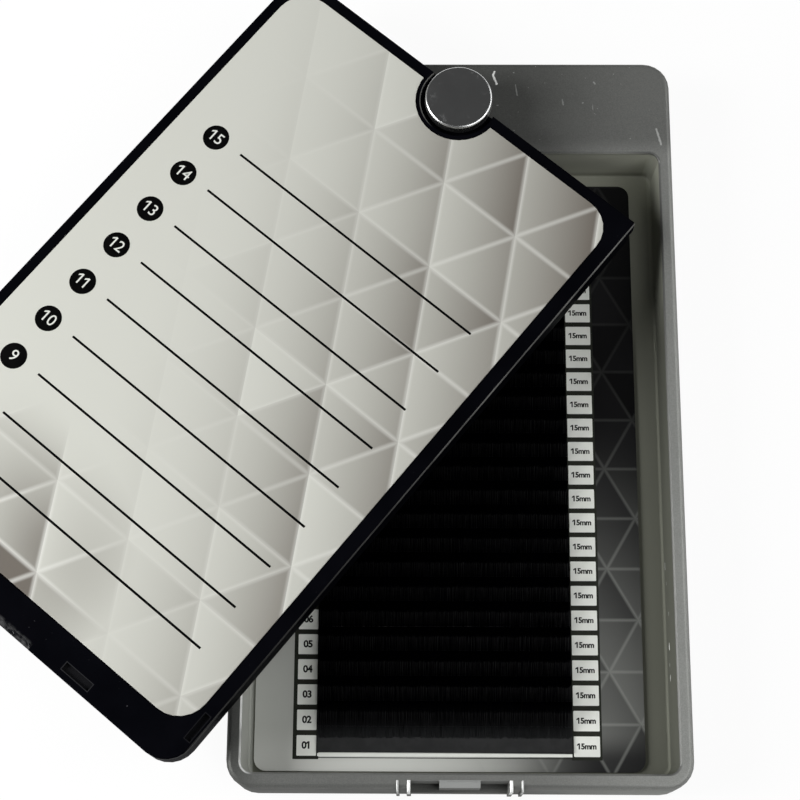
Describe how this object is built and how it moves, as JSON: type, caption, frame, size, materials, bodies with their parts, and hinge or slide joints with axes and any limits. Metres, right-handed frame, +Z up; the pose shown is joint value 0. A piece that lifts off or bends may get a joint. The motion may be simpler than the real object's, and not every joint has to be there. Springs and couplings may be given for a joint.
{
  "type": "lash palette",
  "caption": "Flat silver tray with a sunken card of lash strips, under a black lid with a printed card that swings sideways about a polished button at the rear.",
  "frame": {"origin": "on the surface the tray stands on, under the middle of the tray", "axes": "+X to the tray's right seen from its front, +Y to the end with the button, +Z up"},
  "size_m": [0.1523, 0.1554, 0.0203],
  "materials": {
    "tray": "satin silver paint",
    "lash_card": "printed, matt, light grey fading to black",
    "strip": "satin self-adhesive strip",
    "fibre": "satin black fibre",
    "button": "polished",
    "screw": "plain steel",
    "washer": "plain nylon",
    "lid": "satin black",
    "lid_card": "printed, matt"
  },
  "bodies": {
    "base": {"base_tray": "tray", "lash_card": "lash_card", "lash_strip_01": "strip", "lash_strip_02": "strip", "lash_strip_03": "strip", "lash_strip_04": "strip", "lash_strip_05": "strip", "lash_strip_06": "strip", "lash_strip_07": "strip", "lash_strip_08": "strip", "lash_strip_09": "strip", "lash_strip_10": "strip", "lash_strip_11": "strip", "lash_strip_12": "strip", "lash_strip_13": "strip", "lash_strip_14": "strip", "lash_strip_15": "strip", "lash_strip_16": "strip", "lash_strip_17": "strip", "lash_strip_18": "strip", "lash_strip_19": "strip", "lash_strip_20": "strip", "lash_fibres_1": "fibre", "lash_fibres_2": "fibre", "lash_fibres_3": "fibre", "lash_fibres_4": "fibre", "pivot_stud": "button", "pivot_screw": "screw", "upper_washer": "washer", "lower_washer": "washer"},
    "lid": {"lid_shell": "lid", "lid_card": "lid_card"}
  },
  "joints": [
    {"name": "lid_swing", "type": "hinge", "parent": "base", "child": "lid", "pos_m": [0, 0.05825, 0.012], "axis": [0, 0, 1], "range_deg": [-140.6, 39.4]}
  ]
}
